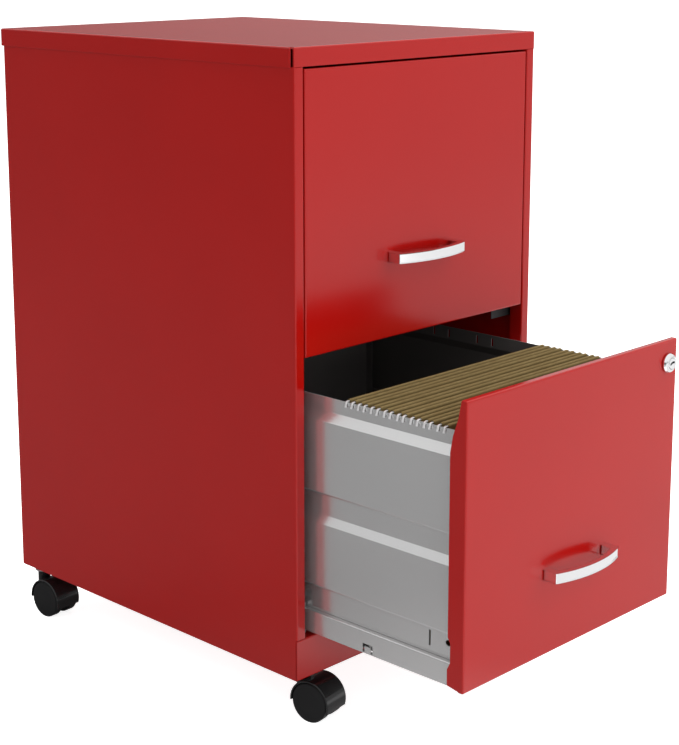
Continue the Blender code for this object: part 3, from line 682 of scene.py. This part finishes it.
casters = {
    # x and y of each stem, y from the cabinet's front plane, and the turn in degrees
    "places": {
        "front_left": (-147.5, 24.0, 9.0), "front_right": (147.5, 24.0, -9.0),
        "rear_left": (-166.3, 433.0, 4.0), "rear_right": (166.3, 433.0, -4.0),
    },
    "trail": 18.0,
    "wheelRadius": 20.5,
    "wheelInner": 5.0,
    "wheelWidth": 10.9,
    "hoodRadius": 23.3,
    "hoodHalfWidth": 16.4,
    "wellRadius": 21.3,
    "webHalf": 4.6,
    "axleBore": 3.3,
    "stemBore": 2.8,
}


def buildCasters():
    c = casters
    axle = (0.0, -c["trail"], c["wheelRadius"])
    r, wide, well, web = c["hoodRadius"], c["hoodHalfWidth"], c["wellRadius"], c["webHalf"]
    # fender and web as one section turned part of the way round the axle
    section = [
        (6.0, -web), (well, -web), (well, -wide), (r, -wide),
        (r, wide), (well, wide), (well, web), (6.0, web)]
    hood = turned("hood", section, "x", axle, 0.9, 56, 4, -3.0, 198.0)
    bore = c["axleBore"]
    hub = turned("hub", [(bore, -web), (8, -web), (8, web), (bore, web), (bore, -web)], "x", axle, 0.01, 48)
    boss = turned("boss", [(0, 28), (7, 28), (7, 48), (0, 48)], "z", (0, 0, 0), 0.8, 48)
    carve(hood, [hub, boss], "UNION")
    carve(hood, [drill("z", (0, 0, 0), c["stemBore"], 20, 60), drill("x", axle, bore, -12, 12)])
    width, big = c["wheelWidth"], c["wheelRadius"]
    rim = [
        (0.0, width - 0.2), (12.0, width - 0.2), (18.9, width), (big, width - 0.35), (big, 1.4),
        (19.0, 0.0), (3.4, 0.0), (3.4, 7.8), (0.0, 7.8)]
    wheel = turned("wheel", rim, "x", (c["wheelInner"], 0, 0), 0.7, 72)
    stemTop = floorToBody - 0.3
    profile = [
        (0, 25.2), (2.5, 25.2), (2.5, stemTop - 1.6), (10, stemTop - 1.6), (10, stemTop), (4, stemTop),
        (4, floorToBody + 14), (0, floorToBody + 14)]
    stem = turned("stem", profile, "z", (0, 0, 0), 0.3, 40)
    for name, (x, y, turn) in c["places"].items():
        shift = (x, frontY + y, 0)
        away = math.radians(turn)
        back, aside = c["trail"] * math.cos(away), c["trail"] * math.sin(away)
        centre = (x + aside, frontY + y - back, c["wheelRadius"])
        pin = copyOf(stem, f"{name}_stem", False, turn, shift)
        settle(pin, "cabinet", "zinc_steel", "zinc", f"{name}_caster_stem")
        cover = copyOf(hood, f"{name}_hood", False, turn, shift)
        settle(cover, f"{name}_caster", "black_plastic", "hood", f"{name}_caster_hood")
        for side in ("left", "right"):
            disc = copyOf(wheel, f"{name}_{side}_disc", side == "left", turn, centre)
            settle(disc, f"{name}_{side}_wheel", "black_plastic", "wheel", f"{name}_wheel_{side}")
    for pattern in (hood, wheel, stem):
        bpy.data.objects.remove(pattern, do_unlink=True)


drawer = {
    "halfFront": 166.5,
    "frontHeight": 275.5,
    "bend": 1.7,
    "sheet": 1.0,
    # depth of the front's side returns at heights above its lower edge
    "returnHeights": (0.0, 1.0, 3.5, 19.0, 26.0, 45.0, 50.0, 225.0, 241.0, 258.0, 275.5),
    "returnDepths": (6.0, 6.0, 19.5, 19.5, 16.0, 16.0, 19.0, 19.0, 16.0, 10.0, 6.5),
    "length": 420.0,
    "sideSheet": 0.9,
    "railTop": 242.0,
    # the slots under the rail come in pairs: the first pair's places, then the same again
    "slotPair": (227.3, 248.9),
    "slotPairs": 3,
    "slotPitch": 62.6,
    "slotWidth": 2.6,
    "slotHeights": (229.8, 238.8),
    "lowSlot": (48.2, 50.4),
    "lowSlotHeights": (30.0, 45.5),
    "clipHole": (27.0, 38.8, 3.0),      # place, height and radius
    "innerHalf": 152.6,                 # of the back, between the sides
}


def buildFront(name, place, withLock):
    d = drawer
    w, h = d["halfFront"], d["frontHeight"]
    heights = d["returnHeights"][2:-1]
    outline = [(-w, 0), (w, 0)] + [(w, z) for z in heights]
    outline += [(w, h), (-w, h)] + [(-w, z) for z in heights[::-1]]

    def depthAt(spots):
        side = np.abs(spots[:, 0]) > w - 0.7
        deep = np.interp(spots[:, 1], d["returnHeights"], d["returnDepths"])
        return np.where(side, deep, np.where(spots[:, 1] > h / 2, 6.5, 6.0))

    face = pan(f"{name}_drawer_face", outline, "y", 0.0, -1, depthAt, d["sheet"], d["bend"], place, 0.9)
    holes = [(x, handleValues["height"], 2.3) for x in handleValues["screws"].values()]
    if withLock:
        holes.append((lockValues["x"], lockValues["z"], 8.3))
    carve(face, [
        drill("y", (x + place[0], place[1], z + place[2]), radius, -3, 4, 40) for x, z, radius in holes])
    settle(face, f"{name}_drawer", "red_paint", "red", f"{name}_front")


def buildDrawerBox(name, place):
    d = drawer
    body = f"{name}_drawer"
    # the side's section from the rail down: the rail, a slope, the upper field, a recess, the
    # lower field, the lower recess and the flange under the bottom
    rail, field, recess = -154.0, -160.0, -156.0
    slotLow, slotHigh = d["slotHeights"]
    lowSlotLow, lowSlotHigh = d["lowSlotHeights"]
    path = [
        (rail, d["railTop"]), (rail, slotHigh), (rail, slotLow), (rail, 228.0), (field, 219.0),
        (field, 146.5), (recess, 145.0), (recess, 124.0), (field, 115.0), (field, 50.0),
        (recess, 48.5), (recess, lowSlotHigh), (recess, lowSlotLow), (recess, 1.4), (-144.0, 1.4)]
    starts = [y + pair * d["slotPitch"] for pair in range(d["slotPairs"]) for y in d["slotPair"]]
    slots = [(y, y + d["slotWidth"]) for y in starts]
    along = sorted([1.4, *d["lowSlot"], d["length"]] + [y for slot in slots for y in slot])
    missing = [((rail - 1, slotLow), (rail + 1, slotHigh), *slot) for slot in slots]
    missing.append(((recess - 1, lowSlotLow), (recess + 1, lowSlotHigh), *d["lowSlot"]))
    left = foldedSheet(f"{name}_box_side_left", path, "y", along, d["sideSheet"], 1.5, place, missing)
    y, z, radius = d["clipHole"]
    carve(left, [drill("x", (0, place[1] + y, place[2] + z), radius, -170, -140)])
    settlePair(left, body, "grey_steel", "grey", f"{name}_drawer_side")

    x, fore, aft = d["innerHalf"], 408.0, 418.0
    path = [(x, fore), (x, aft), (-x, aft), (-x, fore)]
    rear = foldedSheet(f"{name}_box_back", path, "z", [4.2, 238.0], d["sideSheet"], 1.5, place)
    # the back gets the near black painted shade
    settle(rear, body, "grey_steel", "paintedShadeSteel", f"{name}_drawer_back")


slides = {
    "high": 23.0,
    "outer": 161.5,
    "inner": 156.4,
    # the lanced tab: its ends along the slide, and the heights of its root and its tip
    "tab": (116.4, 129.5),
    "tabHeights": (1.3, 7.4),
    "slit": 2.7,
    "channelGap": 4.6,          # between the drawer's member and the cabinet's
    "channelInner": 158.5,
}


def buildSlides(name, place):
    v = slides
    high, outer, inner, slit = v["high"], -v["outer"], -v["inner"], v["slit"]
    (start, end), (root, tip) = v["tab"], v["tabHeights"]
    path = [
        (inner, high), (outer, high), (outer, tip + slit), (outer, tip), (outer, root), (outer, 0.0),
        (inner, 0.0)]
    along = [6.5, start, start + slit, end - slit, end, 406.0]
    missing = [
        ((outer - 1, root), (outer + 1, tip + slit), start, start + slit),
        ((outer - 1, root), (outer + 1, tip + slit), end - slit, end),
        ((outer - 1, tip), (outer + 1, tip + slit), start, end)]
    left = foldedSheet(f"{name}_runner_left", path, "y", along, 1.0, 1.2, place, missing)
    settlePair(left, f"{name}_drawer", "grey_steel", "slide", f"{name}_drawer_slide")

    low, high = -v["channelGap"] - 1.0, high + v["channelGap"] + 1.0
    web, lip = -(shell["halfWidth"] - 1.3), -v["channelInner"]
    path = [(lip, high), (web, high), (web, low), (lip, low)]
    left = foldedSheet(f"{name}_channel_left", path, "y", [21.0, 440.0], 1.0, 1.6, (0.0, frontY, place[2]))
    settlePair(left, "cabinet", "zinc_steel", "zinc", f"{name}_cabinet_slide")


handleValues = {
    "halfSpan": 50.0,
    "standoff": 15.5,
    "reach": 24.5,
    "thickness": 3.6,
    "bar": 10.0,
    "height": 82.7,
    "round": 0.9,
    "screws": {"left": -46.4, "right": 46.4},
}


# Bow: the point at angle t of the circle through both ends and the middle.
def bow(halfSpan, ends, middle, count):
    rise = middle - ends
    radius = (halfSpan ** 2 + rise ** 2) / (2 * rise)
    limit = math.asin(halfSpan / radius)
    t = np.linspace(-limit, limit, count)
    return np.stack([radius * np.sin(t), -(middle - radius + radius * np.cos(t))], 1)


def buildHandle(name, place):
    v = handleValues
    half, foot, thick = v["halfSpan"], 2 * v["thickness"], v["thickness"]
    outer = bow(half, v["standoff"], v["reach"], 41)
    inner = bow(half - foot, v["standoff"] - thick + 1.0, v["reach"] - thick, 41)
    ends = [(half, -0.3), (half - foot, -0.3)]          # 0.3 clear of the front
    outline = np.vstack([[(-half, -0.3)], outer, ends, inner[::-1], [(-half + foot, -0.3)]])
    low = v["height"] - v["bar"] / 2
    grip = slab(f"{name}_pull", outline[::-1], "z", low, low + v["bar"], 1.2, v["round"], place, 5, 4)
    screws = {side: (x + place[0], place[1], v["height"] + place[2]) for side, x in v["screws"].items()}
    carve(grip, [drill("y", where, 2.2, -9, 2) for where in screws.values()])
    settle(grip, f"{name}_drawer", "chrome", "chrome", f"{name}_handle")
    profile = [(0, -8), (2, -8), (2, 1.3), (4, 1.3), (3.9, 2.6), (2.6, 3.6), (0, 3.8)]
    for side, where in screws.items():
        screw = turned(f"{name}_screw_{side}", profile, "y", where, 0.2, 40)
        settle(screw, f"{name}_drawer", "zinc_steel", "zinc", f"{name}_handle_screw_{side}")


lockValues = {
    "x": 150.0,
    "z": 252.5,
    "headRadius": 10.0,
    "headHeight": 5.5,
    "plugRadius": 5.6,
    "slotHalf": 3.9,
    "slotWidth": 2.2,
    "slotTilt": 12.0,
    "slotBow": 0.9,
}


def buildLock(place):
    v = lockValues
    where = (v["x"] + place[0], place[1], v["z"] + place[2])
    face, bore = -0.3 - v["headHeight"], v["plugRadius"] + 0.2
    big = v["headRadius"]
    profile = [
        (bore, 20.0), (bore, face + 0.25), (bore + 0.8, face), (7.4, face + 0.15), (9.0, face + 1.3),
        (big, face + 3.4), (big, -0.3), (8.0, -0.3), (8.0, 20.0), (bore, 20.0)]
    housing = turned("lock_shell", profile, "y", where, 0.9, 96, 6)
    settle(housing, "lower_drawer", "chrome", "chrome", "lock_housing")
    r = v["plugRadius"]
    profile = [(0, face - 0.3), (r, face - 0.3), (r, 21.7), (0, 21.7)]
    plug = turned("lock_core_plug", profile, "y", where, 0.5, 80)
    t = np.linspace(-1, 1, 13)
    along, bend = t * v["slotHalf"], v["slotBow"] * (1 - t ** 2)
    upper = np.stack([along, bend + v["slotWidth"] / 2], 1)
    lower = np.stack([along, bend - v["slotWidth"] / 2], 1)[::-1]
    tilt = math.radians(v["slotTilt"])
    spin = np.array([[math.cos(tilt), math.sin(tilt)], [-math.sin(tilt), math.cos(tilt)]])
    outline = np.vstack([lower[::-1], upper[::-1]]) @ spin
    slot = slab("slot", outline, "y", face - 3, face + 8, 0.3, 0.01, where)
    carve(plug, [slot])
    settle(plug, "lock_core", "chrome", "chrome", "lock_plug")
    # painted shade in the key slot: its walls, deeper than the plated face, get the near black finish
    plug.data.materials.append(materials["strike"])
    centre = np.empty(len(plug.data.polygons) * 3, np.float32)
    plug.data.polygons.foreach_get("center", centre)
    offset = centre.reshape(-1, 3) / mm - np.array(where)
    deep = (offset[:, 1] > face + 0.4) & (np.hypot(offset[:, 0], offset[:, 2]) < r - 0.7)
    plug.data.polygons.foreach_set("material_index", deep.astype(np.int32))


folders = {
    "count": 8,
    "first": 41.5,          # from the cabinet's front plane to the rearmost rod
    "pitch": 16.35,
    "gap": 9.0,             # between a folder's two rods
    "halfWidth": 151.0,
    "top": 291.2,
    "bottom": 66.0,
    "paper": 0.45,
    "wave": 0.9,
    "seed": 11,
    "rodLevel": 289.8,
    "rodReach": 154.4,      # where a rod turns down outside the rail
    "rodTip": (156.0, 284.2),
    "rodSize": (2.2, 1.4),
}


# A folder's section is a narrow V: down from one rod, round the bottom and up to the
# other, and each leaf's top is rolled over its rod. Across the width the leaf waves by
# the sum of three sines that fade out towards the rods.
def folderSurface(yRear, yFront, rng):
    f = folders
    top, low, roll = f["top"], f["bottom"], 1.25
    middle = (yRear + yFront) / 2
    path = [(yFront + 2.2, top - 13.0), (yFront + 2.2, top), (yFront - 0.6, top), (yFront - 0.6, top - 14.0)]
    path += [(middle - 2.2, low + 30.0), (middle - 2.0, low), (middle + 2.0, low), (middle + 2.2, low + 30.0)]
    path += [(yRear + 0.6, top - 14.0), (yRear + 0.6, top), (yRear - 2.2, top), (yRear - 2.2, top - 13.0)]
    spots, normals, fold = filletPath(path, roll, 5)
    x = np.linspace(-f["halfWidth"], f["halfWidth"], 41)
    phase = rng.uniform(0, 2 * np.pi, 3)
    size = rng.uniform(0.3, 1.0, 3) * f["wave"]
    reach = x[None, :] / f["halfWidth"]
    wave = sum(size[k] * np.sin((k + 1.3) * np.pi * reach + phase[k]) for k in range(3))
    fade = np.clip((top - spots[:, 1:]) / 60.0, 0.08, 1.0)
    skins = np.stack([spots, spots - normals * f["paper"]])
    y = skins[:, :, None, 0] + (wave * fade)[None]
    z = np.broadcast_to(skins[:, :, None, 1], y.shape)
    points = np.stack([np.broadcast_to(x, y.shape), y, z], -1)
    k, n, m = y.shape
    index = np.arange(k * n * m).reshape(k, n, m)
    faces = quads(index[0]) + quads(index[1][:, ::-1])
    rims = (
        (index[0, :, 0], index[1, :, 0]), (index[1, :, -1], index[0, :, -1]),
        (index[1, 0], index[0, 0]), (index[0, -1], index[1, -1]))
    for pair in rims:
        faces += quads(np.stack(pair))
    folds = np.broadcast_to((fold * (spots[:, 1] > top - 2))[None, :, None], y.shape)
    return points.reshape(-1, 3), faces, folds.ravel()


# A hook rod runs across the drawer just above the rail and drops down outside it: the
# path's corners are filleted in the x, z plane.
def rodPath(y):
    level, reach, (tip, drop) = folders["rodLevel"], folders["rodReach"], folders["rodTip"]
    path, _, _ = filletPath([(-tip, drop), (-reach, level), (reach, level), (tip, drop)], 1.6, 6)
    return np.stack([path[:, 0], np.full(len(path), y), path[:, 1]], 1)


def buildFolders():
    f = folders
    place = corners["cabinet"]
    rng = np.random.default_rng(f["seed"])
    leaves, rods, folds = [], [], []
    for k in range(f["count"]):
        jitter = rng.uniform(-0.8, 0.8, 2)
        rear = -f["first"] - k * f["pitch"] + 0.4 * jitter[0]
        front = rear - f["gap"] + jitter[1]
        points, faces, fold = folderSurface(rear, front, rng)
        leaves.append((points, faces))
        folds.append(fold)
        for y in (rear - 0.8, front + 0.8):
            rods.append(rodSurface(rodPath(y), *f["rodSize"]))
    paper = together("folder_leaves", leaves, place, np.concatenate(folds))
    settle(paper, "lower_drawer", "folder_paper", "paper", "hanging_folders")
    hooks = together("folder_hook_rods", rods, place)
    settle(hooks, "lower_drawer", "zinc_steel", "hook", "hanging_folders")


buildShell()
print("shell: built")
buildCasters()
print("casters: built")
for drawerName in ("upper", "lower"):
    buildFront(drawerName, corners[drawerName], drawerName == "lower")
    buildDrawerBox(drawerName, corners[drawerName])
    buildSlides(drawerName, corners[drawerName])
    buildHandle(drawerName, corners[drawerName])
buildLock(corners["lower"])
buildFolders()
print("drawers: built")

# CAD pieces that keep their own meshes
cages = [f"{a}_slide_cage_{b}" for a in ("upper", "lower") for b in ("left", "right")]
axles = [f"{c}_caster_axle" for c in casters["places"]]
kept = {
    "red": ["back_panel"],
    "strike": ["lock_strike"],
    "zinc": ["lock_nut", "lock_cam"] + cages + axles,
    # the drawer bottoms get the near black painted shade
    "paintedShadeSteel": ["upper_drawer_bottom", "lower_drawer_bottom"],
}
for materialName, nodeNames in kept.items():
    for nodeName in nodeNames:
        coatWith(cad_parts[nodeName], materialName)
print("finishes: applied")


studio = {
    "floor": (0.80, 0.80, 0.80),
    "floorGlow": 0.85,        # keeps the floor pale where the lights fall off
    # the floor in mirror images, by x - y in metres: how much it is dimmed, and its own glow
    "mirrorDim": (-0.6, 1.0, 0.74, 0.62),
    "mirrorGlow": (-0.5, 0.25, 0.0, 0.46),
    # painted reflection: a pale glowing patch of floor close in front of the cabinet, seen only in mirror
    # images, with no card there; its near and far edges fade over these ranges
    "mirrorPatchNear": (0.10, 0.20, 0.0, 1.0),
    "mirrorPatchFar": (0.42, 0.56, 1.0, 0.0),
    "mirrorPatchGlow": 0.65,
    # brightness all round, from behind and the left to in front and the right
    "worldSweep": (-0.38, 0.6, 0.14, 0.62),
    "worldRise": (0.18, 0.25, 0.0, 0.75),   # added high up, where the drawer side's slopes look
    # watts, place and size of each soft light; they light surfaces but aren't mirrored in them
    "lights": {
        "keyLight": (37.0, (1.7, -2.1, 2.3), (2.4, 2.4)),
        "topLight": (62.0, (0.5, 0.7, 3.0), (2.6, 2.6)),
        "leftFill": (0.6, (-2.4, 0.2, 1.1), (2.4, 1.8)),
        "lowFill": (25.0, (-0.5, -2.8, 0.5), (2.2, 0.9)),
    },
    "aim": (0.0, -0.1, 0.35),
}


def buildStudio():
    s = studio
    mesh = bpy.data.meshes.new("studio_floor")
    t = np.linspace(0, 2 * np.pi, 96, endpoint=False)
    ring = np.stack([30 * np.cos(t), 30 * np.sin(t), 0 * t], 1)         # a disc 30 m in radius
    mesh.from_pydata(ring.tolist(), [], [list(range(96))])
    ground = newObject("studio_floor", mesh)
    material, tree, shader, where = startMaterial("paleFloor", 0.0, 0.8)
    shader.inputs["Specular IOR Level"].default_value = 0.1
    path = addNode(tree, "ShaderNodeLightPath")
    seen, mirrored = path.outputs["Is Camera Ray"], path.outputs["Is Glossy Ray"]
    # in mirror images the floor is dimmer behind and to the left
    spot = addNode(tree, "ShaderNodeSeparateXYZ", {0: where})
    depth = mathNode(tree, "SUBTRACT", spot.outputs["X"], spot.outputs["Y"])
    dim = times(tree, mirrored, mapped(tree, depth, *s["mirrorDim"]))
    colour = mixColour(tree, dim, s["floor"], (0.0, 0.0, 0.0))
    # the painted reflection patch, glowing only in mirror images
    mirrorPatch = times(tree, mapped(tree, depth, *s["mirrorPatchNear"]), mapped(tree, depth, *s["mirrorPatchFar"]))
    mirrorPatch = times(tree, mirrorPatch, s["mirrorPatchGlow"])
    glint = mathNode(tree, "ADD", mapped(tree, depth, *s["mirrorGlow"]), mirrorPatch)
    glint = times(tree, mirrored, glint)
    glow = mathNode(tree, "ADD", times(tree, seen, s["floorGlow"]), glint)
    connect(tree, shader, {"Base Color": colour, "Emission Strength": glow})
    shader.inputs["Emission Color"].default_value = (1.0, 1.0, 1.0, 1.0)
    mesh.materials.append(material)

    world = bpy.data.worlds.new("studio")
    world.use_nodes = True
    bpy.context.scene.world = world
    tree = world.node_tree
    back = tree.nodes["Background"]
    where = addNode(tree, "ShaderNodeTexCoord").outputs["Generated"]
    split = addNode(tree, "ShaderNodeSeparateXYZ", {0: where})
    # dimmer behind and to the left, so the left side is darker than the fronts
    sweep = mathNode(tree, "ADD", times(tree, split.outputs["X"], 0.5), times(tree, split.outputs["Y"], -0.8))
    rise = mapped(tree, split.outputs["Z"], *s["worldRise"])
    level = mathNode(tree, "ADD", mapped(tree, sweep, *s["worldSweep"]), rise, clamp=True)
    seen = addNode(tree, "ShaderNodeLightPath").outputs["Is Camera Ray"]
    rest = times(tree, seen, mathNode(tree, "SUBTRACT", 1.0, level))
    tree.links.new(mathNode(tree, "ADD", level, rest), back.inputs["Strength"])
    back.inputs["Color"].default_value = (1.0, 1.0, 1.0, 1.0)

    for name, (power, place, size) in s["lights"].items():
        light = bpy.data.lights.new(name, "AREA")
        light.shape = "RECTANGLE"
        light.size, light.size_y = size
        light.energy = power
        lamp = newObject(name, light)
        lamp.location = place
        lamp.visible_glossy = False
        aim = Vector(s["aim"]) - Vector(place)
        lamp.rotation_euler = aim.to_track_quat("-Z", "Y").to_euler()


cameraValues = {
    "lens": 90.1,
    "sensor": 36.0,
    "place": (-1.2798, -1.2313, 0.7771),
    "heading": 46.129,      # degrees from +Y towards +X
    "pitch": 11.191,        # degrees below level
    "lift": -0.1536,        # a little vertical shift keeps the uprights straighter
}


def buildCamera():
    v = cameraValues
    lens = bpy.data.cameras.new("camera")
    lens.lens = v["lens"]
    lens.sensor_width = v["sensor"]
    lens.sensor_fit = "HORIZONTAL"
    lens.shift_y = v["lift"]
    camera = newObject("camera", lens)
    camera.location = v["place"]
    camera.rotation_euler = (math.radians(90 - v["pitch"]), 0.0, -math.radians(v["heading"]))
    bpy.context.scene.camera = camera


buildStudio()
buildCamera()
view = bpy.context.scene.view_settings
view.view_transform = "Standard"
view.look = "None"
print("studio: ready")
